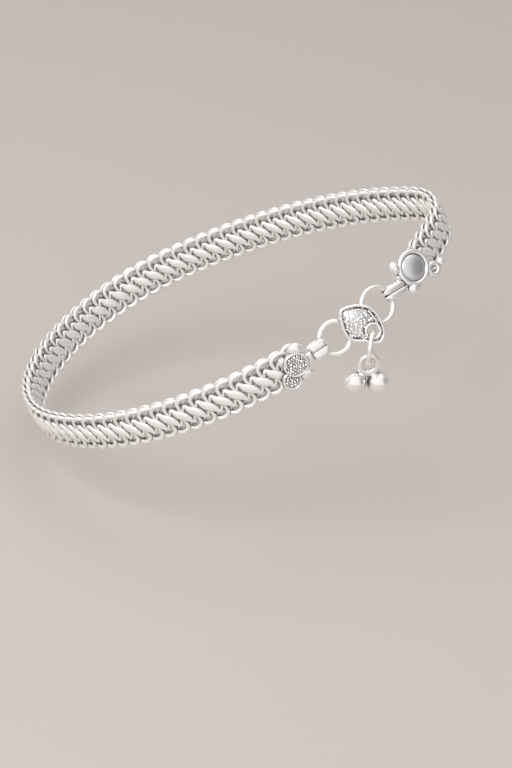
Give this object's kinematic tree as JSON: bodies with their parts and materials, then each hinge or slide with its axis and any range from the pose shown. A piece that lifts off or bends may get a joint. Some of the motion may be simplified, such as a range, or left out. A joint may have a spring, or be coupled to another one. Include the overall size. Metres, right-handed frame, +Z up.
{
  "type": "anklet",
  "caption": "Silver payal anklet: a loop of interlocking S-shaped links closed by beaded caps, wire rings and a leaf charm with a hanging twin-ball drop.",
  "frame": {"origin": "middle of the loop on its long axis, where the ankle sits", "axes": "+Z up as worn, +X horizontal from the heel toward the instep, +Y across the ankle; the loop's plane rises 32 degrees from -X to +X"},
  "size_m": [0.0943, 0.0809, 0.0636],
  "materials": {
    "woven_silver": "satin silver wire with darkened recesses",
    "cast_silver": "satin silver with a granulated face and polished domes",
    "polished_silver": "mirror-polished silver"
  },
  "bodies": {
    "anklet": {"chain_01": "woven_silver", "chain_02": "woven_silver", "chain_03": "woven_silver", "chain_04": "woven_silver", "chain_05": "woven_silver", "chain_06": "woven_silver", "chain_07": "woven_silver", "chain_08": "woven_silver", "chain_09": "woven_silver", "chain_10": "woven_silver", "chain_11": "woven_silver", "chain_12": "woven_silver", "chain_13": "woven_silver", "chain_14": "woven_silver", "chain_15": "woven_silver", "chain_16": "woven_silver", "chain_17": "woven_silver", "chain_18": "woven_silver", "chain_19": "woven_silver", "chain_20": "woven_silver", "chain_21": "woven_silver", "chain_22": "woven_silver", "chain_23": "woven_silver", "chain_24": "woven_silver", "chain_25": "woven_silver", "chain_26": "woven_silver", "end_cap_left": "cast_silver", "end_cap_right": "cast_silver", "ring_left": "polished_silver", "ring_right": "polished_silver", "charm": "cast_silver"},
    "link": {"drop_link": "polished_silver"},
    "hanging_drop": {"drop": "polished_silver"}
  },
  "joints": [
    {"name": "link_swing", "type": "hinge", "parent": "anklet", "child": "link", "pos_m": [0.03031, -0.03347, 0.01542], "axis": [-0.0993, -0.9951, 0], "range_deg": [-20, 50]},
    {"name": "drop_swing", "type": "hinge", "parent": "link", "child": "hanging_drop", "pos_m": [0.03031, -0.03347, 0.01152], "axis": [-0.9951, 0.0993, 0], "range_deg": [-12, 60]}
  ]
}
